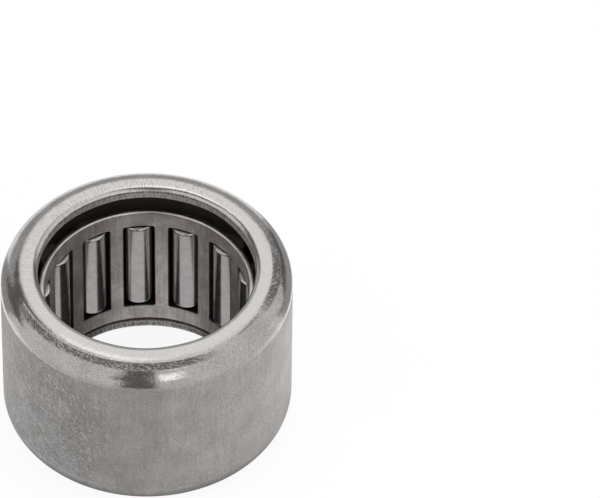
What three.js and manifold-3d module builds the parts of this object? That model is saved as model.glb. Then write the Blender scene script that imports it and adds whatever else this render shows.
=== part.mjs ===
// Drawn-cup needle roller bearing with open ends: a thin steel cup, a window cage and fourteen needle rollers.
// Millimetres. +Z runs along the bearing's axis, and the origin is on the axis, in the plane of the lower end.
import * as THREE from "three";
import { mergeVertices } from "three/addons/utils/BufferGeometryUtils.js";
import Module from "manifold-3d";

// Driving dimensions of the bearing: shaft, housing bore and width.
const SHAFT_DIAMETER = 12;
const OUTER_DIAMETER = 18;
const WIDTH = 12;

// Needle rollers.
const ROLLER_COUNT = 14;
const ROLLER_DIAMETER = 2;
const ROLLER_LENGTH = 6.6;
const ROLLER_END_RADIUS = 0.12;

// Drawn cup: a sleeve with an inward lip at each end. The lower lip is what a punch leaves of the cup's bottom.
// The upper lip is curled over once the cage and the rollers are in, so its bore is wider and its edge rounder.
const RUNNING_CLEARANCE = 0.02;
const CUP_CORNER_RADIUS = 1.5;
const LIP_THICKNESS = 0.8;
const PUNCHED_LIP = { boreDiameter: 12.8, edgeRadius: 0.08 };
const CURLED_LIP = { boreDiameter: 13.4, edgeRadius: 0.25 };
const LIP_INSIDE_CHAMFER = 0.1;
const CUP_INNER_CORNER_RADIUS = 0.5;

// Cage: a rolled steel band with one window for each roller. Its windows are a little narrower than a roller,
// so no roller can drop into the bore.
const CAGE_BORE_DIAMETER = 12.56;
const CAGE_THICKNESS = 0.4;
const CAGE_LENGTH = 9.5;
const CAGE_EDGE_CHAMFER = 0.1;
const CAGE_FLOAT_BELOW = 0.05;
const WINDOW_WIDTH = 1.96;
const WINDOW_LENGTH = 7.1;
const WINDOW_CORNER_RADIUS = 0.15;
const WINDOW_GAP_ABOVE_ROLLER = 0.05;

// Facets: a whole number of them lies under each roller, so every window is cut alike.
const RING_SEGMENTS = ROLLER_COUNT * 6;
const ROLLER_SEGMENTS = 20;
const CORNER_SEGMENTS = 5;
const SMALL_CORNER_SEGMENTS = 3;

const outerRadius = OUTER_DIAMETER / 2;
const rollerRadius = ROLLER_DIAMETER / 2;
const pitchRadius = SHAFT_DIAMETER / 2 + rollerRadius;
const racewayRadius = pitchRadius + rollerRadius + RUNNING_CLEARANCE;
const cageInnerRadius = CAGE_BORE_DIAMETER / 2;
const cageOuterRadius = cageInnerRadius + CAGE_THICKNESS;
const cageBottom = LIP_THICKNESS + CAGE_FLOAT_BELOW;
const windowBottom = cageBottom + (CAGE_LENGTH - WINDOW_LENGTH) / 2;
const rollerBottom = windowBottom + WINDOW_LENGTH - WINDOW_GAP_ABOVE_ROLLER - ROLLER_LENGTH;

const wasm = await Module();
wasm.setup();

// Points of a circular arc in a profile's (radius, height) plane, both ends included. Angles are in quarter turns.
function arc(centreR, centreZ, radius, fromQuarter, toQuarter, segments) {
  const points = [];
  for (let i = 0; i <= segments; i++) {
    const angle = (Math.PI / 2) * (fromQuarter + ((toQuarter - fromQuarter) * i) / segments);
    points.push(new THREE.Vector2(centreR + radius * Math.cos(angle), centreZ + radius * Math.sin(angle)));
  }
  return points;
}

// Turns a profile about the Z axis. The profile starts and ends on the axis, or it closes on itself.
function turned(profile, segments) {
  return new THREE.LatheGeometry(profile, segments).rotateX(Math.PI / 2);
}

function closed(profile) {
  return [...profile, profile[0].clone()];
}

// Turns a profile of the upper end of the bearing over to the lower end, and lists it in the opposite order, so
// that it goes on from where the upper end's profile stops.
function mirroredToLowerEnd(profile) {
  return profile.map((point) => new THREE.Vector2(point.x, WIDTH - point.y)).reverse();
}

function toManifold(geometry) {
  const bare = geometry.clone().deleteAttribute("normal").deleteAttribute("uv");
  const merged = mergeVertices(bare, 1e-4);
  return new wasm.Manifold(
    new wasm.Mesh({
      numProp: 3,
      vertProperties: merged.attributes.position.array,
      triVerts: new Uint32Array(merged.index.array),
    }),
  );
}

function toGeometry(solid) {
  const mesh = solid.getMesh();
  const geometry = new THREE.BufferGeometry();
  geometry.setAttribute("position", new THREE.BufferAttribute(mesh.vertProperties, mesh.numProp));
  geometry.setIndex(new THREE.BufferAttribute(mesh.triVerts, 1));
  geometry.computeVertexNormals();
  return geometry;
}

// The upper end of a cup, from the sleeve's outside, over the round corner and the lip, to the raceway.
function cupEndProfile(lip) {
  const lipUnderside = WIDTH - LIP_THICKNESS;
  const lipBoreRadius = lip.boreDiameter / 2;
  return [
    ...arc(
      outerRadius - CUP_CORNER_RADIUS,
      WIDTH - CUP_CORNER_RADIUS,
      CUP_CORNER_RADIUS,
      0,
      1,
      CORNER_SEGMENTS,
    ),
    ...arc(
      lipBoreRadius + lip.edgeRadius,
      WIDTH - lip.edgeRadius,
      lip.edgeRadius,
      1,
      2,
      SMALL_CORNER_SEGMENTS,
    ),
    new THREE.Vector2(lipBoreRadius, lipUnderside + LIP_INSIDE_CHAMFER),
    new THREE.Vector2(lipBoreRadius + LIP_INSIDE_CHAMFER, lipUnderside),
    ...arc(
      racewayRadius - CUP_INNER_CORNER_RADIUS,
      lipUnderside - CUP_INNER_CORNER_RADIUS,
      CUP_INNER_CORNER_RADIUS,
      1,
      0,
      SMALL_CORNER_SEGMENTS,
    ),
  ];
}

function drawnCupGeometry() {
  const upperEnd = cupEndProfile(CURLED_LIP);
  const lowerEnd = mirroredToLowerEnd(cupEndProfile(PUNCHED_LIP));
  return turned(closed([...upperEnd, ...lowerEnd]), RING_SEGMENTS);
}

// The plain band of the cage, with its four edges broken.
function cageBandGeometry() {
  const top = cageBottom + CAGE_LENGTH;
  const chamfer = CAGE_EDGE_CHAMFER;
  const profile = [
    [cageOuterRadius - chamfer, cageBottom],
    [cageOuterRadius, cageBottom + chamfer],
    [cageOuterRadius, top - chamfer],
    [cageOuterRadius - chamfer, top],
    [cageInnerRadius + chamfer, top],
    [cageInnerRadius, top - chamfer],
    [cageInnerRadius, cageBottom + chamfer],
    [cageInnerRadius + chamfer, cageBottom],
  ].map(([r, z]) => new THREE.Vector2(r, z));
  return turned(closed(profile), RING_SEGMENTS);
}

// A rectangle with round corners, centred on the shape's origin.
function windowShape() {
  const halfWidth = WINDOW_WIDTH / 2;
  const halfLength = WINDOW_LENGTH / 2;
  const radius = WINDOW_CORNER_RADIUS;
  const shape = new THREE.Shape();
  shape.absarc(halfWidth - radius, halfLength - radius, radius, 0, Math.PI / 2);
  shape.absarc(radius - halfWidth, halfLength - radius, radius, Math.PI / 2, Math.PI);
  shape.absarc(radius - halfWidth, radius - halfLength, radius, Math.PI, 1.5 * Math.PI);
  shape.absarc(halfWidth - radius, radius - halfLength, radius, 1.5 * Math.PI, 2 * Math.PI);
  return shape;
}

// The punch that cuts one window, standing across the band on the +X side.
function windowPunchGeometry() {
  const overrun = CAGE_THICKNESS;
  const punch = new THREE.ExtrudeGeometry(windowShape(), {
    depth: CAGE_THICKNESS + 2 * overrun,
    bevelEnabled: false,
    curveSegments: 2,
  });
  const tangent = new THREE.Vector3(0, 1, 0);
  const axial = new THREE.Vector3(0, 0, 1);
  const radial = new THREE.Vector3(1, 0, 0);
  punch.applyMatrix4(new THREE.Matrix4().makeBasis(tangent, axial, radial));
  return punch.translate(cageInnerRadius - overrun, 0, windowBottom + WINDOW_LENGTH / 2);
}

function cageGeometry() {
  let cage = toManifold(cageBandGeometry());
  const punch = windowPunchGeometry();
  for (let i = 0; i < ROLLER_COUNT; i++) {
    cage = cage.subtract(toManifold(punch.clone().rotateZ(rollerAngle(i))));
  }
  return toGeometry(cage);
}

// A needle roller standing on its lower end, with rounded edges at both ends.
function rollerGeometry() {
  const inset = rollerRadius - ROLLER_END_RADIUS;
  const profile = [
    new THREE.Vector2(0, 0),
    ...arc(inset, ROLLER_END_RADIUS, ROLLER_END_RADIUS, -1, 0, 2),
    ...arc(inset, ROLLER_LENGTH - ROLLER_END_RADIUS, ROLLER_END_RADIUS, 0, 1, 2),
    new THREE.Vector2(0, ROLLER_LENGTH),
  ];
  return turned(profile, ROLLER_SEGMENTS);
}

function rollerAngle(index) {
  return (2 * Math.PI * index) / ROLLER_COUNT;
}

// Bead-blasted, zinc-grey case-hardened strip.
function cupSteel() {
  return new THREE.MeshStandardMaterial({ color: 0x8f8b88, roughness: 0.45, metalness: 1 });
}

// Darker, slightly brown phosphated strip.
function cageSteel() {
  return new THREE.MeshStandardMaterial({ color: 0x6f6863, roughness: 0.55, metalness: 1 });
}

// Ground and polished bearing steel.
function rollerSteel() {
  return new THREE.MeshStandardMaterial({ color: 0xb9b8b6, roughness: 0.18, metalness: 1 });
}

function named(name, geometry, material) {
  const mesh = new THREE.Mesh(geometry, material);
  mesh.name = name;
  return mesh;
}

// The cage with the rollers that it carries: this whole group turns about the bearing's axis.
function rollerAndCageSet() {
  const set = new THREE.Group();
  set.add(named("cage", cageGeometry(), cageSteel()));
  const geometry = rollerGeometry();
  const material = rollerSteel();
  for (let i = 0; i < ROLLER_COUNT; i++) {
    const roller = named(`roller_${String(i + 1).padStart(2, "0")}`, geometry, material);
    const angle = rollerAngle(i);
    roller.position.set(pitchRadius * Math.cos(angle), pitchRadius * Math.sin(angle), rollerBottom);
    roller.rotation.z = angle;
    set.add(roller);
  }
  return set;
}

const bearing = new THREE.Group();
bearing.add(named("drawn_cup", drawnCupGeometry(), cupSteel()));
bearing.add(rollerAndCageSet());

export default bearing;
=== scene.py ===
import math

import bmesh
import bpy
from mathutils import Matrix, Vector, noise


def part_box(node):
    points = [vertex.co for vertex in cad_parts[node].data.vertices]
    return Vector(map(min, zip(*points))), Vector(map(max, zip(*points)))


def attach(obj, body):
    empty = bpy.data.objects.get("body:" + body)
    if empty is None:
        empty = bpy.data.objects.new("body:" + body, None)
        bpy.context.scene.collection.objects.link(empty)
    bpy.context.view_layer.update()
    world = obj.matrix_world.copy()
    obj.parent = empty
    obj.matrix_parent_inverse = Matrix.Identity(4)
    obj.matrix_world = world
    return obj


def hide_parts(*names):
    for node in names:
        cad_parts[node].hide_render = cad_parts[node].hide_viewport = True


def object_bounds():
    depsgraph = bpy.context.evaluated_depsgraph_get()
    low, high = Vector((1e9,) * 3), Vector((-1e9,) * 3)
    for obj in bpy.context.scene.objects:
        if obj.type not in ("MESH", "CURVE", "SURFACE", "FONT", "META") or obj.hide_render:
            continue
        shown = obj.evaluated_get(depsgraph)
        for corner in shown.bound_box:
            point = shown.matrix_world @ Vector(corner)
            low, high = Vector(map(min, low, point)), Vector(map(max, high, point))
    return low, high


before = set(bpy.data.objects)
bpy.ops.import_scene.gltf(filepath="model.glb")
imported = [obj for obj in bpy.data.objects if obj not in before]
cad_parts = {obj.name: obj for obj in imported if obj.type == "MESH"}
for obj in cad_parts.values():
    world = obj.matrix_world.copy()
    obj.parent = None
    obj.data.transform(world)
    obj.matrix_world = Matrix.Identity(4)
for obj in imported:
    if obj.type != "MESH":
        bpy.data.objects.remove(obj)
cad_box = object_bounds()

# Blender works in metres; the bearing's own dimensions are written in millimetres, as in the CAD model.
MM = 0.001
# Vertices nearer to each other than this, in millimetres, are one vertex.
MERGE_DISTANCE = 1e-4

# The camera's stand, in millimetres and degrees, and the range of distances that it shows, in metres. The
# picture's centre looks at a point on the floor that lies to the right of the bearing and behind it.
LENS = 394.7
SENSOR_WIDTH = 36
CAMERA_AZIMUTH = 6.75
CAMERA_ELEVATION = 45.71
CAMERA_ROLL = 0.87
CAMERA_DISTANCE = 421.6
AIM_RIGHT = 9.40
AIM_BEHIND = 13.41
CLIP_START = 0.01
CLIP_END = 20

# Drawn cup, in the CAD model's words.
CUP_CORNER_RADIUS = 1.5
LIP_THICKNESS = 0.8
PUNCHED_LIP_BORE_RADIUS = 6.4
PUNCHED_LIP_EDGE_RADIUS = 0.08
CURLED_LIP_BORE_RADIUS = 6.7
CURLED_LIP_EDGE_WIDTH = 0.45
CURLED_LIP_EDGE_HEIGHT = 0.28
LIP_INSIDE_CHAMFER = 0.1
CUP_INNER_CORNER_RADIUS = 0.5
RACEWAY_RADIUS = 8.02
CUP_SEGMENTS = 432

# The lips' edges are uneven: by how much, inside which radius, over what distance the unevenness sets in,
# and how closely its waves follow each other.
LIP_UNEVENNESS = 0.03
UNEVEN_INSIDE_RADIUS = 7.3
UNEVEN_FADE = 0.5
UNEVEN_WAVES = 3

# Places along the cup's wall are counted in millimetres, from the side up over the round corner and inwards
# on the ring. These two are where the corner starts and where it ends.
CORNER_START = 1.5
CORNER_END = 4.5

# Where the round corner is crinkled: azimuth from the camera's side, reach, and place along the wall. All the
# patches are centred at one radius, in the plane of the upper ring.
CRINKLES = [
    (-38, 5.2, 3.52),
    (-14, 4.6, 3.52),
    (7, 4.2, 3.52),
    (84, 3.6, 3.90),
]
CRINKLED_RADIUS = 8

# Marks on the cup: azimuth from the camera's side, radius and height of the mark's middle, and the
# distances from it within which the mark is full and beyond which it is gone.
TUMBLED_MARK = (-55, 9, 6, 4, 9)
STAIN_MARK = (-47, 9, 2.4, 1.0, 4.5)
SCRATCH_MARK = (-150, 8, 12, 5, 13)

# Cage.
CAGE_THICKNESS = 0.4
CAGE_INNER_END_ROUNDING = 0.12
CAGE_OUTER_END_ROUNDING = 0.1
WINDOW_WIDTH = 1.96
WINDOW_LENGTH = 7.1
WINDOW_CORNER_RADIUS = 0.15
WINDOW_EDGE_ROUNDING = 0.05
# Vertices along a window's upright sides, along its short sides and round each of its corners.
UPRIGHT_SEGMENTS = 16
SHORT_SEGMENTS = 6
CORNER_SEGMENTS = 6
# The share of a cell's short and upright sides that belongs to the window's straight sides. The rest
# belongs to its corners.
SHARE_ACROSS = 0.62
SHARE_ALONG = 0.75

# Rollers. The support ring keeps the flank's shading flat up to the rounded end.
ROLLER_RADIUS = 1.0
ROLLER_END_RADIUS = 0.12
ROLLER_END_CROWN = 0.01
ROLLER_SUPPORT_RING = 0.1
ROLLER_SEGMENTS = 72

# Colours of the cup's steel.
CUP_DULL = (0.405, 0.387, 0.375)
CUP_BRIGHT = (0.655, 0.633, 0.615)
CUP_BURNISHED = (0.72, 0.702, 0.685)
# Painted shade in the wrinkles on the cup's side.
CUP_CREASE_SHADE = (0.22, 0.205, 0.195)
CUP_STAIN = (0.50, 0.60, 0.62)
CUP_SCRATCH = (0.30, 0.29, 0.28)
# Painted shade in the folds of the crinkled patches.
CUP_FOLD_SHADE = (0.12, 0.112, 0.105)
# Painted shade: the raceway between the lips, in the gap under them, is coloured dark.
CUP_RACEWAY_SHADE = (0.24, 0.20, 0.18)
CUP_BURR = (0.10, 0.095, 0.09)
# The punched lip's bore has real shear marks, but its darker tone is painted shade.
PUNCHED_DULL = (0.24, 0.225, 0.21)
PUNCHED_BRIGHT = (0.60, 0.575, 0.55)
# Painted shadow: a ragged dark line on the punched lip's bore, under the cage's lower edge.
PUNCHED_SHADOW_LINE = (0.07, 0.062, 0.058)
CURLED_DULL = (0.5, 0.49, 0.48)
CURLED_BRIGHT = (0.9, 0.88, 0.86)

# Colours of the cage's and the rollers' steel.
CAGE_DULL = (0.40, 0.368, 0.346)
CAGE_BRIGHT = (0.86, 0.80, 0.755)
CAGE_RUST = (0.60, 0.475, 0.44)
CAGE_SCRATCH = (0.60, 0.56, 0.53)
CAGE_WORN = (0.72, 0.68, 0.64)
# Painted shade on the cage's window walls.
CAGE_WINDOW_SHADE = (0.14, 0.12, 0.11)
ROLLER_DULL = (0.62, 0.60, 0.585)
ROLLER_BRIGHT = (0.69, 0.67, 0.655)

# Floor, with its radius in metres. The camera sees white paper. Reflections see a table that glows by itself.
FLOOR_RADIUS = 4.0
FLOOR_SEGMENTS = 96
FLOOR_GLOW = 0.90
FLOOR_SHADE = 0.16
TABLE_SHADE = 0.12

# The table's glow in front of the bearing and behind it, near by and far away. It changes from front to
# back between two places ahead of the bearing's axis, and from near to far between two radii. It is darkest
# at the cup's foot.
FRONT_GLOW = 0.56
BACK_GLOW = 1.15
NEAR_TABLE_AHEAD = (-10, 14)
FAR_GLOW = 0.68
FAR_BACK_GLOW = 0.95
FAR_TABLE_AHEAD = (-40, 0)
NEAR_TO_FAR_RADII = (18, 32)
FOOT_SHADE = 0.32
FOOT_RADII = (8.3, 11.3)

# Darker cards on the table: the azimuths from the camera's side that a card lies between, the radius at
# which it sets in, the softness of its two sides, and its glow. It is full at CARD_FULL times that radius.
CARDS = [
    (-14, 9, 8.5, 2.5, 0.44),
    (-14, 7, 21, 0.7, 0.07),
    (105, 156, 18, 2, 0.36),
    (-135, -103, 18, 2, 0.30),
]
CARD_FULL = 1.15

# The table has a pane under the bore, which only the camera can't look through. It is clear up to the first
# radius, and gone at the second.
PANE_RADII = (7.2, 7.4)

# Light box under the pane, which the bore and the rollers reflect. Its width is an angle round the axis,
# and its softness is in radians. Directions that point steeply down meet one brightness instead, which sets
# in between two values of a unit vector's z.
LIGHT_BOX_AZIMUTH = -5
LIGHT_BOX_HALF_WIDTH = 52
LIGHT_BOX_SOFTNESS = 0.05
LIGHT_BOX_GLOW = 0.62
UNDERSIDE_GLOW = 0.02
STRAIGHT_BELOW_GLOW = 0.72
STRAIGHT_BELOW_RISE = (-0.90, -0.78)

# Soft rectangular light panels round the bearing: azimuth from the camera's side (positive to the right)
# and elevation of the panel's middle, its half width and half height, all in degrees, its softness and
# brightness.
PANELS = [
    (180, 62, 21, 28, 0.12, 1.0),
    (-150, 70, 12, 11, 0.08, 0.55),
    (-167, 14, 37, 18, 0.10, 0.37),
    (-60, 30, 40, 37, 0.12, 0.74),
    (66, 34, 58, 40, 0.08, 0.74),
    (17, 14, 6, 20, 0.16, 1.45),
]
# A black flag hides the panels between two azimuths, and a round black card hides them overhead. The room's
# own light comes on top of what they leave, and the camera itself sees a white backdrop.
FLAG_AZIMUTHS = (-16, 8)
FLAG_SOFTNESS = 0.03
OVERHEAD_CARD_AZIMUTH = -100
OVERHEAD_CARD_ELEVATION = 68
OVERHEAD_CARD_HALF_ANGLE = 13
ROOM_BRIGHTNESS = 0.20
BACKDROP_GLOW = 1.25


class Graph:
    """Short calls that add nodes to a material's or a world's node tree."""

    def __init__(self, tree):
        self.tree = tree
        tree.nodes.clear()

    def add(self, kind, **settings):
        node = self.tree.nodes.new(kind)
        for name, value in settings.items():
            setattr(node, name, value)
        return node

    def feed(self, socket, value):
        if isinstance(value, bpy.types.NodeSocket):
            self.tree.links.new(value, socket)
        else:
            socket.default_value = value

    def math(self, operation, *values):
        node = self.add("ShaderNodeMath", operation=operation)
        for socket, value in zip(node.inputs, values):
            self.feed(socket, value)
        return node.outputs[0]

    def ramp(self, value, low, high, start=0.0, end=1.0):
        """Runs smoothly from start, at low, to end, at high."""
        node = self.add("ShaderNodeMapRange", interpolation_type="SMOOTHSTEP")
        for socket, number in zip(node.inputs, (value, low, high, start, end)):
            self.feed(socket, number)
        return node.outputs[0]

    def mix(self, factor, first, second):
        node = self.add("ShaderNodeMix", data_type="FLOAT")
        self.feed(node.inputs[0], factor)
        self.feed(node.inputs[2], first)
        self.feed(node.inputs[3], second)
        return node.outputs[0]

    def mix_colour(self, factor, first, second):
        node = self.add("ShaderNodeMix", data_type="RGBA")
        self.feed(node.inputs["Factor"], factor)
        for socket, colour in zip(node.inputs[6:8], (first, second)):
            self.feed(socket, colour if isinstance(colour, bpy.types.NodeSocket) else (*colour, 1))
        return node.outputs[2]

    def scaled(self, vector, factors):
        node = self.add("ShaderNodeVectorMath", operation="MULTIPLY")
        self.feed(node.inputs[0], vector)
        self.feed(node.inputs[1], factors)
        return node.outputs[0]

    def dot(self, first, second):
        node = self.add("ShaderNodeVectorMath", operation="DOT_PRODUCT")
        self.feed(node.inputs[0], first)
        self.feed(node.inputs[1], second)
        return node.outputs["Value"]

    def split(self, vector):
        node = self.add("ShaderNodeSeparateXYZ")
        self.feed(node.inputs[0], vector)
        return node.outputs[:3]

    def join(self, x, y, z):
        node = self.add("ShaderNodeCombineXYZ")
        for socket, value in zip(node.inputs, (x, y, z)):
            self.feed(socket, value)
        return node.outputs[0]

    def noise(self, vector, scale, detail=2.0, roughness=0.5, distortion=0.0):
        node = self.add("ShaderNodeTexNoise")
        self.feed(node.inputs["Vector"], vector)
        node.inputs["Scale"].default_value = scale
        node.inputs["Detail"].default_value = detail
        node.inputs["Roughness"].default_value = roughness
        node.inputs["Distortion"].default_value = distortion
        return node.outputs[0]

    def millimetres(self):
        """The object's own coordinates in millimetres."""
        place = self.add("ShaderNodeTexCoord").outputs["Object"]
        return self.scaled(place, (1 / MM, 1 / MM, 1 / MM))

    def radius(self, x, y):
        square = self.math("ADD", self.math("MULTIPLY", x, x), self.math("MULTIPLY", y, y))
        return self.math("SQRT", square)

    def distance(self, value, middle):
        """How far a value is from a middle value, to either side."""
        return self.math("ABSOLUTE", self.math("SUBTRACT", value, middle))

    def around(self, x, y, radius, along, stretch, twist=0.0):
        """Texture coordinates that run round the axis and along the wall. twist slants them, in radians per
        millimetre."""
        turn = self.math("MULTIPLY", along, twist)
        unit_x = self.math("DIVIDE", x, radius)
        unit_y = self.math("DIVIDE", y, radius)
        turned_x = self.math("SUBTRACT", unit_x, self.math("MULTIPLY", turn, unit_y))
        turned_y = self.math("ADD", unit_y, self.math("MULTIPLY", turn, unit_x))
        return self.join(turned_x, turned_y, self.math("MULTIPLY", along, stretch))

    def creases(self, height, width):
        """1 along the lines where a noise passes its middle value, 0 away from them."""
        return self.ramp(self.distance(height, 0.5), 0.0, width, 1.0, 0.0)

    def near(self, place, centre, inner, outer):
        """1 within inner millimetres of a point, 0 beyond outer."""
        node = self.add("ShaderNodeVectorMath", operation="DISTANCE")
        self.feed(node.inputs[0], place)
        self.feed(node.inputs[1], centre)
        return self.ramp(node.outputs["Value"], inner, outer, 1.0, 0.0)

    def bump(self, heights):
        """A bump from (height, depth in millimetres) pairs, added up."""
        total = 0.0
        for height, depth in heights:
            total = self.math("ADD", total, self.math("MULTIPLY", height, depth))
        node = self.add("ShaderNodeBump")
        node.inputs["Distance"].default_value = MM
        self.feed(node.inputs["Height"], total)
        return node.outputs["Normal"]

    def metal(self, colour, roughness, normal):
        shader = self.add("ShaderNodeBsdfPrincipled")
        shader.inputs["Metallic"].default_value = 1.0
        self.feed(shader.inputs["Base Color"], colour)
        self.feed(shader.inputs["Roughness"], roughness)
        self.feed(shader.inputs["Normal"], normal)
        output = self.add("ShaderNodeOutputMaterial")
        self.feed(output.inputs["Surface"], shader.outputs[0])


def new_material(name):
    material = bpy.data.materials.new(name)
    material.use_nodes = True
    return material, Graph(material.node_tree)


def cup_height():
    low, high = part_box("drawn_cup")
    return (high.z - low.z) / MM


def direction_on_cup(azimuth):
    """Unit vector from the axis to a place on the cup, by its azimuth from the camera's side."""
    angle = math.radians(azimuth + CAMERA_AZIMUTH)
    return Vector((math.sin(angle), -math.cos(angle), 0))


def direction_in_room(azimuth, elevation):
    """Unit vector from the bearing to a place in the room, by its azimuth from the camera's side."""
    rise = math.radians(elevation)
    return direction_on_cup(azimuth) * math.cos(rise) + Vector((0, 0, math.sin(rise)))


def mark(g, place, azimuth, radius, height, inner, outer):
    """1 within inner millimetres of a place on the cup, 0 beyond outer."""
    centre = direction_on_cup(azimuth) * radius + Vector((0, 0, height))
    return g.near(place, centre, inner, outer)


def crinkled_bend(g, place, along):
    """1 in the patches of the round corner where the sheet crinkled as it was bent over."""
    crinkled = 0.0
    for azimuth, reach, bend in CRINKLES:
        on_bend = g.ramp(g.distance(along, bend), 0.20, 0.41, 1.0, 0.0)
        patch = mark(g, place, azimuth, CRINKLED_RADIUS, cup_height(), 0.4 * reach, reach)
        crinkled = g.math("MAXIMUM", crinkled, g.math("MULTIPLY", patch, on_bend))
    return crinkled


def raceway_zone(g, radius, from_middle):
    """1 on the cup's inside between its two lips."""
    inside = g.ramp(radius, RACEWAY_RADIUS + 0.18, RACEWAY_RADIUS + 0.38, 1.0, 0.0)
    underside = cup_height() / 2 - LIP_THICKNESS
    return g.math("MULTIPLY", inside, g.ramp(from_middle, underside - 0.05, underside + 0.05, 1.0, 0.0))


def sheared_steel(g, z, shear, upper_half):
    """Colour of a lip's bore: fine axial marks, and a ragged painted shadow line where the punched lip meets
    the cage.
    """
    # Real shear marks, on a tone that is kept dark as painted shade.
    punched = g.mix_colour(g.ramp(shear, 0.38, 0.62), PUNCHED_DULL, PUNCHED_BRIGHT)
    # Painted shadow line where the cage's lower edge overhangs the punched lip.
    ragged_height = g.math("ADD", z, g.math("MULTIPLY", shear, 0.55))
    shadow_line = g.ramp(ragged_height, LIP_THICKNESS, LIP_THICKNESS + 0.06)
    punched = g.mix_colour(shadow_line, punched, PUNCHED_SHADOW_LINE)
    curled = g.mix_colour(g.ramp(shear, 0.3, 0.6), CURLED_DULL, CURLED_BRIGHT)
    return g.mix_colour(upper_half, punched, curled)


def burr_line(g, radius, from_middle, orange_peel, shear):
    """1 along the ragged dark line that a lip's rounded edge ends in."""
    ragged_height = g.math("ADD", from_middle, g.math("MULTIPLY", orange_peel, 0.12))
    line_height = cup_height() / 2 - CURLED_LIP_EDGE_HEIGHT + 0.06
    burr = g.ramp(g.distance(ragged_height, line_height), 0.03, 0.08, 1.0, 0.0)
    on_edge = g.ramp(radius, CURLED_LIP_BORE_RADIUS + 0.15, CURLED_LIP_BORE_RADIUS + 0.30, 1.0, 0.0)
    burr = g.math("MULTIPLY", burr, on_edge)
    return g.math("MULTIPLY", burr, g.ramp(shear, 0.35, 0.6, 0.8, 0.3))


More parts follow.
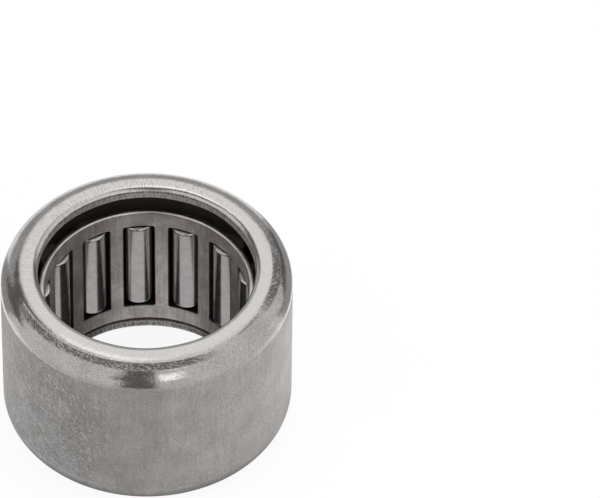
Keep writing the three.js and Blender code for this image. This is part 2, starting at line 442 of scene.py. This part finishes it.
def cup_steel():
    """Tumbled case-hardened steel: matt and speckled on the side, burnished on the round corner and the lip,
    and crinkled in places where the sheet was bent over. Painted shade darkens the crinkles' folds and the
    wrinkles on the side."""
    material, g = new_material("cup_steel")
    place = g.millimetres()
    x, y, z = g.split(place)
    radius = g.radius(x, y)
    middle = cup_height() / 2
    from_middle = g.distance(z, middle)
    along = g.math("ADD", g.math("SUBTRACT", from_middle, radius), middle)

    # Zones of the cup.
    side = g.ramp(along, CORNER_START - 0.15, CORNER_START, 1.0, 0.0)
    top = g.ramp(along, CORNER_END - 0.6, CORNER_END)
    lip_bore = g.ramp(radius, CURLED_LIP_BORE_RADIUS + 0.02, CURLED_LIP_BORE_RADIUS + 0.10, 1.0, 0.0)
    upper_half = g.math("GREATER_THAN", z, middle)
    raceway = raceway_zone(g, radius, from_middle)
    crinkled = crinkled_bend(g, place, along)
    tumbled = g.math("MULTIPLY", mark(g, place, *TUMBLED_MARK), side)

    # Patterns: blotches, then marks that follow the wall.
    speckle = g.noise(place, 9.0, detail=3.0, roughness=0.7)
    grain = g.noise(place, 3.0, detail=3.0, roughness=0.6)
    clouds = g.noise(place, 0.6, detail=3.0, roughness=0.55)
    drawn = g.noise(g.scaled(place, (1, 1, 0.06)), 8.0, detail=3.0, roughness=0.7)
    slanted = g.around(x, y, radius, z, 0.07, twist=0.08)
    wrinkles = g.creases(g.noise(slanted, 36.0, detail=4.0, roughness=0.65, distortion=1.2), 0.08)
    spokes = g.noise(g.around(x, y, radius, along, 0.02), 130.0, detail=3.0, roughness=0.6)
    shear = g.noise(g.around(x, y, radius, z, 0.04), 60.0, detail=3.0, roughness=0.7)
    orange_peel = g.noise(g.around(x, y, radius, along, 0.22), 16.0, detail=4.0, roughness=0.7)
    bent_over = g.around(x, y, radius, along, 0.10, twist=0.16)
    folds = g.noise(bent_over, 34.0, detail=4.0, roughness=0.75, distortion=0.8)

    # Colour, from the broad tone to the single marks.
    tone = g.math("ADD", g.math("MULTIPLY", speckle, 0.8), g.math("MULTIPLY", clouds, 0.35))
    tone = g.math("ADD", tone, g.math("MULTIPLY", drawn, 0.30))
    colour = g.mix_colour(g.ramp(tone, 0.50, 0.95), CUP_DULL, CUP_BRIGHT)
    colour = g.mix_colour(g.math("MULTIPLY", top, 0.75), colour, CUP_BURNISHED)
    # Painted shade along the wrinkles, strongest in the tumbled mark.
    crease_shade = g.math("MULTIPLY", wrinkles, g.math("MULTIPLY", side, g.ramp(tumbled, 0, 1, 0.15, 0.70)))
    colour = g.mix_colour(crease_shade, colour, CUP_CREASE_SHADE)
    stain_edge = g.ramp(g.noise(place, 0.9, detail=4.0, roughness=0.6, distortion=0.6), 0.42, 0.62)
    stain = g.math("MULTIPLY", mark(g, place, *STAIN_MARK), stain_edge)
    colour = g.mix_colour(g.math("MULTIPLY", stain, 0.45), colour, CUP_STAIN)
    scratch_depth = g.ramp(mark(g, place, *SCRATCH_MARK), 0, 1, 0.15, 0.4)
    scratches = g.math("MULTIPLY", g.math("MULTIPLY", top, scratch_depth), g.ramp(spokes, 0.54, 0.34))
    colour = g.mix_colour(scratches, colour, CUP_SCRATCH)
    # Painted shade in the crinkles' folds. The folds themselves are bumps, further below.
    fold_shade = g.math("MULTIPLY", crinkled, g.ramp(folds, 0.56, 0.49))
    colour = g.mix_colour(g.math("MULTIPLY", fold_shade, 0.85), colour, CUP_FOLD_SHADE)
    # Painted shade on the raceway, in the gap under the lips.
    colour = g.mix_colour(raceway, colour, CUP_RACEWAY_SHADE)
    colour = g.mix_colour(lip_bore, colour, sheared_steel(g, z, shear, upper_half))
    colour = g.mix_colour(burr_line(g, radius, from_middle, orange_peel, shear), colour, CUP_BURR)

    matt = g.math("ADD", 0.42, g.math("MULTIPLY", speckle, 0.24))
    worn = g.math("ADD", 0.06, g.math("MULTIPLY", grain, 0.12))
    roughness = g.mix(side, worn, matt)
    roughness = g.mix(lip_bore, roughness, 0.45)
    roughness = g.mix(raceway, roughness, 0.85)

    off_side = g.math("SUBTRACT", 1.0, side)
    peel_depth = g.math("MULTIPLY", off_side, g.ramp(clouds, 0.38, 0.62, 0.003, 0.016))
    normal = g.bump(
        [
            (speckle, g.mix(side, 0.0008, g.ramp(tumbled, 0, 1, 0.010, 0.018))),
            (drawn, g.math("MULTIPLY", side, 0.002)),
            (wrinkles, g.math("MULTIPLY", tumbled, -0.020)),
            (orange_peel, peel_depth),
            (spokes, g.math("MULTIPLY", top, 0.005)),
            (folds, g.math("MULTIPLY", crinkled, 0.10)),
            (shear, g.math("MULTIPLY", lip_bore, 0.004)),
        ]
    )
    g.metal(colour, roughness, normal)
    return material


def cage_steel():
    """Matt brownish strip steel, with burnished ends, and painted shade on its window walls."""
    material, g = new_material("cage_steel")
    place = g.millimetres()
    z = g.split(place)[2]
    low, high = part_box("cage")
    middle = (low.z + high.z) / 2 / MM
    half = (high.z - low.z) / 2 / MM
    ends = g.ramp(g.distance(z, middle), half - 0.12, half - 0.04)
    window_shade = g.add("ShaderNodeAttribute", attribute_name="window_shade").outputs["Fac"]

    speckle = g.noise(place, 9.0, detail=3.0, roughness=0.7)
    clouds = g.noise(place, 0.7, detail=3.0, roughness=0.6)
    rust = g.noise(g.scaled(place, (1, 1, 0.6)), 1.1, detail=4.0, roughness=0.65, distortion=0.4)
    rolled = g.noise(g.scaled(place, (1, 1, 0.08)), 6.0, detail=2.0)
    scratches = g.creases(g.noise(g.scaled(place, (0.5, 0.5, 1)), 3.0, detail=3.0, distortion=1.5), 0.03)

    tone = g.math("ADD", g.math("MULTIPLY", speckle, 0.6), g.math("MULTIPLY", clouds, 0.6))
    tone = g.math("ADD", tone, g.math("MULTIPLY", rolled, 0.3))
    colour = g.mix_colour(g.ramp(tone, 0.50, 1.0), CAGE_DULL, CAGE_BRIGHT)
    colour = g.mix_colour(g.ramp(rust, 0.48, 0.68, 0.0, 0.6), colour, CAGE_RUST)
    colour = g.mix_colour(g.math("MULTIPLY", scratches, 0.3), colour, CAGE_SCRATCH)
    worn_ends = g.math("MULTIPLY", ends, g.ramp(clouds, 0.35, 0.65, 0.15, 0.7))
    colour = g.mix_colour(worn_ends, colour, CAGE_WORN)
    # Painted shade: a vertex attribute colours the window walls dark.
    colour = g.mix_colour(window_shade, colour, CAGE_WINDOW_SHADE)

    roughness = g.math("ADD", 0.40, g.math("MULTIPLY", speckle, 0.18))
    roughness = g.mix(ends, roughness, 0.26)
    normal = g.bump([(speckle, 0.004), (rolled, 0.002), (scratches, -0.002)])
    g.metal(colour, roughness, normal)
    return material


def roller_steel():
    """Ground and polished bearing steel, with fine grinding lines and faint smudges of oil."""
    material, g = new_material("roller_steel")
    place = g.millimetres()
    smudge = g.noise(place, 1.6, detail=4.0, roughness=0.6)
    ground = g.noise(g.scaled(place, (0.05, 0.05, 1)), 14.0, detail=3.0)
    lapped = g.noise(g.scaled(place, (1, 1, 0.04)), 8.0, detail=2.0)
    colour = g.mix_colour(g.ramp(smudge, 0.35, 0.65), ROLLER_DULL, ROLLER_BRIGHT)
    roughness = g.math("ADD", 0.13, g.math("MULTIPLY", smudge, 0.08))
    roughness = g.math("ADD", roughness, g.math("MULTIPLY", ground, 0.05))
    normal = g.bump([(ground, 0.0006), (lapped, 0.0010)])
    g.metal(colour, roughness, normal)
    return material


def quarter_turn(segments):
    """Angles from 0 to a quarter turn."""
    return [math.pi / 2 * step / segments for step in range(segments + 1)]


def arc(centre_r, centre_z, radius, from_quarter, to_quarter, segments, squash=1.0):
    """Points of an arc in a profile's (radius, height) plane. Angles are in quarter turns. squash scales the
    arc's height, so that it is a piece of an ellipse."""
    points = []
    for i in range(segments + 1):
        angle = math.pi / 2 * (from_quarter + (to_quarter - from_quarter) * i / segments)
        points.append(
            (centre_r + radius * math.cos(angle), centre_z + squash * radius * math.sin(angle))
        )
    return points


def between(start, end, share):
    """The point that lies a share of the way from start to end."""
    return tuple(a + (b - a) * share for a, b in zip(start, end))


def line(start, end, segments):
    """Points of a straight line, without its two ends."""
    return [between(start, end, i / segments) for i in range(1, segments)]


def add_object(name, mesh_builder, material, body, node):
    """Makes a piece from a bmesh, smooth shaded, that stands for a CAD node and rides on its body."""
    mesh = bpy.data.meshes.new(name)
    bmesh.ops.recalc_face_normals(mesh_builder, faces=mesh_builder.faces)
    mesh_builder.to_mesh(mesh)
    mesh_builder.free()
    mesh.transform(Matrix.Scale(MM, 4))
    mesh.shade_smooth()
    mesh.materials.append(material)
    piece = bpy.data.objects.new(name, mesh)
    bpy.context.scene.collection.objects.link(piece)
    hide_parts(node)
    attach(piece, body)


def fill_grid(builder, rows, wrap_rows):
    """Quads between neighbouring rows of vertices. Each row closes on itself."""
    count = len(rows)
    for i in range(count if wrap_rows else count - 1):
        first, second = rows[i], rows[(i + 1) % count]
        for j in range(len(first)):
            k = (j + 1) % len(first)
            builder.faces.new((first[j], first[k], second[k], second[j]))


def lathe(builder, profile, segments, centre=(0, 0), closed=True, wobble=None):
    """Turns a profile about a vertical axis. wobble changes a point by its angle."""
    rows = []
    for r, z in profile:
        row = []
        for j in range(segments):
            angle = 2 * math.pi * j / segments
            radius, height = wobble(r, z, angle) if wobble else (r, z)
            x = centre[0] + radius * math.cos(angle)
            y = centre[1] + radius * math.sin(angle)
            row.append(builder.verts.new((x, y, height)))
        rows.append(row)
    fill_grid(builder, rows, closed)
    bmesh.ops.remove_doubles(builder, verts=builder.verts, dist=MERGE_DISTANCE)


def cup_end_profile(outer_radius, height, bore_radius, edge_width, edge_height):
    """The upper half of a cup's wall section, from the side, over the lip, to the raceway."""
    corner_z = height - CUP_CORNER_RADIUS
    corner_r = outer_radius - CUP_CORNER_RADIUS
    underside = height - LIP_THICKNESS
    inner_corner_r = RACEWAY_RADIUS - CUP_INNER_CORNER_RADIUS
    inner_corner_z = underside - CUP_INNER_CORNER_RADIUS
    edge_r = bore_radius + edge_width
    edge_z = height - edge_height
    chamfer = LIP_INSIDE_CHAMFER
    middle = height / 2
    return [
        (outer_radius, middle),
        *line((outer_radius, middle), (outer_radius, corner_z), 8),
        *arc(corner_r, corner_z, CUP_CORNER_RADIUS, 0, 1, 32),
        *line((corner_r, height), (edge_r, height), 5),
        *arc(edge_r, edge_z, edge_width, 1, 2, 14, edge_height / edge_width),
        *line((bore_radius, edge_z), (bore_radius, underside + chamfer), 4),
        *arc(bore_radius + chamfer, underside + chamfer, chamfer, 2, 3, 4),
        *line((bore_radius + chamfer, underside), (inner_corner_r, underside), 4),
        *arc(inner_corner_r, inner_corner_z, CUP_INNER_CORNER_RADIUS, 1, 0, 8),
        *line((RACEWAY_RADIUS, inner_corner_z), (RACEWAY_RADIUS, middle), 4),
        (RACEWAY_RADIUS, middle),
    ]


def uneven_lip(r, z, angle):
    """Moves a point of a lip's edge a little in or out."""
    strength = min(max((UNEVEN_INSIDE_RADIUS - r) / UNEVEN_FADE, 0), 1)
    spot = Vector((UNEVEN_WAVES * math.cos(angle), UNEVEN_WAVES * math.sin(angle), z))
    return r + LIP_UNEVENNESS * strength * noise.noise(spot), z


def add_cup(material):
    low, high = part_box("drawn_cup")
    height = cup_height()
    outer_radius = (high.x - low.x) / 2 / MM
    upper = cup_end_profile(
        outer_radius, height, CURLED_LIP_BORE_RADIUS, CURLED_LIP_EDGE_WIDTH, CURLED_LIP_EDGE_HEIGHT
    )
    lower = cup_end_profile(
        outer_radius, height, PUNCHED_LIP_BORE_RADIUS, PUNCHED_LIP_EDGE_RADIUS, PUNCHED_LIP_EDGE_RADIUS
    )
    lower = [(r, height - z) for r, z in reversed(lower[1:-1])]
    builder = bmesh.new()
    lathe(builder, upper + lower, CUP_SEGMENTS, wobble=uneven_lip)
    add_object("cup_shell", builder, material, "cup_body", "drawn_cup")


def window_outline(half_width, half_length, corner_radius):
    """Points round a rectangle with round corners, as (across, along), and the same points' places on the
    edge of the cell round the window, as fractions from -1 to 1."""
    points, places = [], []
    centre_x = half_width - corner_radius
    centre_z = half_length - corner_radius
    half_corner = CORNER_SEGMENTS // 2
    signs = [(1, 1), (-1, 1), (-1, -1), (1, -1)]
    for quarter, (sx, sz) in enumerate(signs):
        upright_first = quarter % 2 == 0
        next_sx, next_sz = signs[(quarter + 1) % 4]
        start_place, end_place = (sx, sz * SHARE_ALONG), (sx * SHARE_ACROSS, sz)
        next_place = (next_sx * SHARE_ACROSS, next_sz)
        if not upright_first:
            start_place, end_place = end_place, start_place
            next_place = (next_sx, next_sz * SHARE_ALONG)

        for i in range(CORNER_SEGMENTS):
            angle = math.pi / 2 * (quarter + i / CORNER_SEGMENTS)
            across = sx * centre_x + corner_radius * math.cos(angle)
            along = sz * centre_z + corner_radius * math.sin(angle)
            points.append((across, along))
            if i < half_corner:
                places.append(between(start_place, (sx, sz), i / half_corner))
            else:
                places.append(between((sx, sz), end_place, (i - half_corner) / half_corner))

        angle = math.pi / 2 * (quarter + 1)
        offset_x = corner_radius * math.cos(angle)
        offset_z = corner_radius * math.sin(angle)
        start = (sx * centre_x + offset_x, sz * centre_z + offset_z)
        end = (next_sx * centre_x + offset_x, next_sz * centre_z + offset_z)
        segments = SHORT_SEGMENTS if upright_first else UPRIGHT_SEGMENTS
        for i in range(segments):
            points.append(between(start, end, i / segments))
            places.append(between(end_place, next_place, i / segments))
    return points, places


def add_cage(material, roller_count):
    """One window cell after another: inner face, window wall and outer face as rings of quads, then the
    rounded ends."""
    low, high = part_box("cage")
    outer = (high.x - low.x) / 2 / MM
    inner = outer - CAGE_THICKNESS
    bottom, top = low.z / MM, high.z / MM
    centre_z = (bottom + top) / 2
    half_cell = math.pi / roller_count
    edge = WINDOW_EDGE_ROUNDING
    builder = bmesh.new()
    # Vertex attribute for painted shade: 1 on the window walls, 0 on the cage's inner and outer faces.
    window_shade = builder.verts.layers.float.new("window_shade")
    _, cell_places = window_outline(WINDOW_WIDTH / 2, WINDOW_LENGTH / 2, WINDOW_CORNER_RADIUS)

    def vertex(angle, radius, height, shade_weight=0.0):
        v = builder.verts.new((radius * math.cos(angle), radius * math.sin(angle), height))
        v[window_shade] = shade_weight
        return v

    def window_ring(turn, radius, grow, shade_weight):
        points, _ = window_outline(
            WINDOW_WIDTH / 2 + grow, WINDOW_LENGTH / 2 + grow, WINDOW_CORNER_RADIUS + grow
        )
        return [
            vertex(turn + math.asin(across / radius), radius, centre_z + along, shade_weight)
            for across, along in points
        ]

    def cell_ring(turn, radius, rounding):
        half_length = (top - bottom) / 2 - rounding
        return [
            vertex(turn + across * half_cell, radius, centre_z + along * half_length)
            for across, along in cell_places
        ]

    def halfway_ring(first, second, radius):
        ring = []
        for a, b in zip(first, second):
            angle = math.atan2(a.co.y, a.co.x)
            step = math.atan2(b.co.y, b.co.x) - angle
            step = (step + math.pi) % (2 * math.pi) - math.pi
            ring.append(vertex(angle + step / 2, radius, (a.co.z + b.co.z) / 2))
        return ring

    def window_cell(turn):
        """A window with its rounded edges and the part of the band round it."""
        rounding = [(edge * (1 - math.sin(a)), edge * (1 - math.cos(a))) for a in quarter_turn(3)]
        inner_cell = cell_ring(turn, inner, CAGE_INNER_END_ROUNDING)
        outer_cell = cell_ring(turn, outer, CAGE_OUTER_END_ROUNDING)
        inner_flat = window_ring(turn, inner, 2 * edge, 0.0)
        outer_flat = window_ring(turn, outer, 2 * edge, 0.0)
        rings = [inner_cell, halfway_ring(inner_cell, inner_flat, inner), inner_flat]
        rings += [window_ring(turn, inner + rise, grow, 1 - grow / edge) for grow, rise in rounding]
        rings += [window_ring(turn, inner + CAGE_THICKNESS / 2, 0, 1.0)]
        rings += [window_ring(turn, outer - rise, grow, 1.0) for grow, rise in reversed(rounding)]
        rings += [outer_flat, halfway_ring(outer_cell, outer_flat, outer), outer_cell]
        fill_grid(builder, rings, False)

    def band_end(sign):
        """The rounded end of the band, from the inner face over the end to the outer face."""
        steps = sorted({across for across, along in cell_places if along == sign})
        angles = [
            2 * math.pi * i / roller_count + across * half_cell
            for i in range(roller_count)
            for across in steps[:-1]
        ]
        end_z = top if sign > 0 else bottom
        section = []
        for angle in quarter_turn(6):
            rounding = CAGE_INNER_END_ROUNDING
            section.append((inner + rounding * (1 - math.cos(angle)), rounding * (1 - math.sin(angle))))
        for angle in reversed(quarter_turn(4)):
            rounding = CAGE_OUTER_END_ROUNDING
            section.append((outer - rounding * (1 - math.cos(angle)), rounding * (1 - math.sin(angle))))
        rows = [
            [vertex(angle, radius, end_z - sign * drop) for angle in angles]
            for radius, drop in section
        ]
        fill_grid(builder, rows, False)

    for i in range(roller_count):
        window_cell(2 * math.pi * i / roller_count)
    band_end(1)
    band_end(-1)
    bmesh.ops.remove_doubles(builder, verts=builder.verts, dist=MERGE_DISTANCE)
    add_object("cage_band", builder, material, "cage_body", "cage")


def add_roller(node, body, material):
    """A needle roller with rounded, slightly crowned ends."""
    low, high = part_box(node)
    centre = (low + high) / 2 / MM
    bottom, top = low.z / MM, high.z / MM
    inset = ROLLER_RADIUS - ROLLER_END_RADIUS
    shoulder = bottom + ROLLER_END_RADIUS + ROLLER_END_CROWN
    lower = [
        (0, bottom),
        (0.5 * inset, bottom + 0.25 * ROLLER_END_CROWN),
        *arc(inset, shoulder, ROLLER_END_RADIUS, -1, 0, 8),
        (ROLLER_RADIUS, shoulder + ROLLER_SUPPORT_RING),
    ]
    upper = [(r, bottom + top - z) for r, z in reversed(lower)]
    builder = bmesh.new()
    lathe(builder, lower + upper, ROLLER_SEGMENTS, centre=(centre.x, centre.y), closed=False)
    add_object(node + "_needle", builder, material, body, node)


def table_card(g, x, y, radius, start, end, reach, softness):
    """1 on a card that lies on the table between two azimuths, from a radius outwards."""
    card = g.ramp(radius, reach, CARD_FULL * reach)
    for azimuth, sign in ((start, 1), (end, -1)):
        side = direction_on_cup(azimuth)
        inside = g.math("SUBTRACT", g.math("MULTIPLY", y, side.x), g.math("MULTIPLY", x, side.y))
        card = g.math("MULTIPLY", card, g.ramp(g.math("MULTIPLY", inside, sign), -softness, softness))
    return card


def table_glow(g, x, y, radius):
    """How brightly the table glows in reflections."""
    front = direction_on_cup(0)
    ahead = g.math("ADD", g.math("MULTIPLY", x, front.x), g.math("MULTIPLY", y, front.y))
    near_table = g.ramp(ahead, *NEAR_TABLE_AHEAD, BACK_GLOW, FRONT_GLOW)
    far_table = g.ramp(ahead, *FAR_TABLE_AHEAD, FAR_BACK_GLOW, FAR_GLOW)
    table = g.mix(g.ramp(radius, *NEAR_TO_FAR_RADII), near_table, far_table)
    table = g.math("MULTIPLY", table, g.ramp(radius, *FOOT_RADII, FOOT_SHADE, 1.0))
    for start, end, reach, softness, glow in CARDS:
        table = g.mix(table_card(g, x, y, radius, start, end, reach, softness), table, glow)
    return table


def floor_paper():
    """White paper to the camera, and to reflections a softly lit table with a clear pane under the bore."""
    material, g = new_material("floor_paper")
    seen = g.add("ShaderNodeLightPath").outputs["Is Camera Ray"]
    x, y, _ = g.split(g.millimetres())
    radius = g.radius(x, y)
    paper = g.add("ShaderNodeBsdfDiffuse")
    g.feed(paper.inputs["Color"], g.mix_colour(seen, [TABLE_SHADE] * 3, [FLOOR_SHADE] * 3))
    glow = g.add("ShaderNodeEmission")
    g.feed(glow.inputs["Strength"], g.mix(seen, table_glow(g, x, y, radius), FLOOR_GLOW))
    lit_paper = g.add("ShaderNodeAddShader")
    g.feed(lit_paper.inputs[0], paper.outputs[0])
    g.feed(lit_paper.inputs[1], glow.outputs[0])
    pane = g.math("MULTIPLY", g.ramp(radius, *PANE_RADII, 1.0, 0.0), g.math("SUBTRACT", 1.0, seen))
    surface = g.add("ShaderNodeMixShader")
    g.feed(surface.inputs[0], pane)
    g.feed(surface.inputs[1], lit_paper.outputs[0])
    g.feed(surface.inputs[2], g.add("ShaderNodeBsdfTransparent").outputs[0])
    g.feed(g.add("ShaderNodeOutputMaterial").inputs["Surface"], surface.outputs[0])
    return material


def add_floor():
    builder = bmesh.new()
    bmesh.ops.create_circle(builder, cap_ends=True, segments=FLOOR_SEGMENTS, radius=FLOOR_RADIUS)
    mesh = bpy.data.meshes.new("floor")
    builder.to_mesh(mesh)
    builder.free()
    mesh.materials.append(floor_paper())
    floor = bpy.data.objects.new("floor", mesh)
    floor.location.z = cad_box[0].z
    bpy.context.scene.collection.objects.link(floor)


def panel_light(g, direction):
    """The light of all the panels in a direction."""
    light = 0.0
    for azimuth, elevation, half_width, half_height, softness, brightness in PANELS:
        outward = direction_on_cup(azimuth)
        facing = direction_in_room(azimuth, elevation)
        sideways = Vector((-outward.y, outward.x, 0))
        upward = facing.cross(sideways)
        ahead = g.math("MAXIMUM", g.dot(direction, facing), 0.001)
        share = 1.0
        for axis, half_angle in ((sideways, half_width), (upward, half_height)):
            off_centre = g.math("ABSOLUTE", g.math("DIVIDE", g.dot(direction, axis), ahead))
            edge = math.tan(math.radians(half_angle))
            inside = g.ramp(off_centre, edge - softness, edge + softness, 1.0, 0.0)
            share = g.math("MULTIPLY", share, inside)
        light = g.math("ADD", light, g.math("MULTIPLY", share, brightness))
    return light


def flag_cover(g, direction):
    """1 behind the black flag, between its two azimuths."""
    cover = 1.0
    for azimuth, sign in zip(FLAG_AZIMUTHS, (1, -1)):
        edge = direction_on_cup(azimuth)
        off_edge = g.dot(direction, Vector((-edge.y, edge.x, 0)) * sign)
        cover = g.math("MULTIPLY", cover, g.ramp(off_edge, -FLAG_SOFTNESS, FLAG_SOFTNESS))
    return cover


def overhead_card_cover(g, direction):
    """1 in the inner half of the round black card overhead, 0 outside the card."""
    facing = direction_in_room(OVERHEAD_CARD_AZIMUTH, OVERHEAD_CARD_ELEVATION)
    edge = math.cos(math.radians(OVERHEAD_CARD_HALF_ANGLE))
    core = math.cos(math.radians(OVERHEAD_CARD_HALF_ANGLE / 2))
    return g.ramp(g.dot(direction, facing), edge, core)


def light_below(g, direction, rise):
    """The light of the light box and the dark underside round it, seen through the pane."""
    rightward = g.dot(direction, direction_on_cup(LIGHT_BOX_AZIMUTH + 90))
    forward = g.dot(direction, direction_on_cup(LIGHT_BOX_AZIMUTH))
    off_centre = g.math("ABSOLUTE", g.math("ARCTAN2", rightward, forward))
    edge = math.radians(LIGHT_BOX_HALF_WIDTH)
    light_box = g.ramp(
        off_centre, edge - LIGHT_BOX_SOFTNESS, edge + LIGHT_BOX_SOFTNESS, LIGHT_BOX_GLOW, UNDERSIDE_GLOW
    )
    return g.mix(g.ramp(rise, *STRAIGHT_BELOW_RISE, 1.0, 0.0), light_box, STRAIGHT_BELOW_GLOW)


def add_light():
    """A plain room with soft light panels round the bearing, a black flag and a black card that hide parts of
    them, and a light box below. The camera itself sees a white backdrop."""
    world = bpy.data.worlds.new("studio")
    bpy.context.scene.world = world
    world.use_nodes = True
    g = Graph(world.node_tree)
    direction = g.add("ShaderNodeTexCoord").outputs["Generated"]
    rise = g.split(direction)[2]
    light = panel_light(g, direction)
    light = g.math("MULTIPLY", light, g.math("SUBTRACT", 1.0, flag_cover(g, direction)))
    light = g.math("MULTIPLY", light, g.math("SUBTRACT", 1.0, overhead_card_cover(g, direction)))
    light = g.math("ADD", light, ROOM_BRIGHTNESS)
    light = g.mix(g.math("LESS_THAN", rise, 0.0), light, light_below(g, direction, rise))
    seen = g.add("ShaderNodeLightPath").outputs["Is Camera Ray"]
    background = g.add("ShaderNodeBackground")
    g.feed(background.inputs["Strength"], g.mix(seen, light, BACKDROP_GLOW))
    g.feed(g.add("ShaderNodeOutputWorld").inputs["Surface"], background.outputs[0])


def add_camera():
    """A long lens at the photograph's viewing angle."""
    azimuth = math.radians(CAMERA_AZIMUTH)
    elevation = math.radians(CAMERA_ELEVATION)
    roll = math.radians(CAMERA_ROLL)
    right = Vector((math.cos(azimuth), math.sin(azimuth), 0))
    behind = Vector((-math.sin(azimuth), math.cos(azimuth), 0))
    back = -behind * math.cos(elevation) + Vector((0, 0, math.sin(elevation)))
    up = back.cross(right)
    aim = (right * AIM_RIGHT + behind * AIM_BEHIND) * MM
    aim.z = cad_box[0].z
    rotation = Matrix(
        (
            right * math.cos(roll) + up * math.sin(roll),
            up * math.cos(roll) - right * math.sin(roll),
            back,
        )
    ).transposed()
    camera = bpy.data.objects.new("camera", bpy.data.cameras.new("camera"))
    camera.data.sensor_width = SENSOR_WIDTH
    camera.data.lens = LENS
    camera.data.clip_start = CLIP_START
    camera.data.clip_end = CLIP_END
    camera.matrix_world = Matrix.Translation(aim + back * CAMERA_DISTANCE * MM) @ rotation.to_4x4()
    bpy.context.scene.collection.objects.link(camera)
    bpy.context.scene.camera = camera


def add_bearing():
    rollers = sorted(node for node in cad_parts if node.startswith("roller_"))
    add_cup(cup_steel())
    add_cage(cage_steel(), len(rollers))
    steel = roller_steel()
    for node in rollers:
        add_roller(node, node + "_body", steel)


add_camera()
add_bearing()
add_floor()
add_light()
bpy.context.scene.view_settings.view_transform = "Standard"
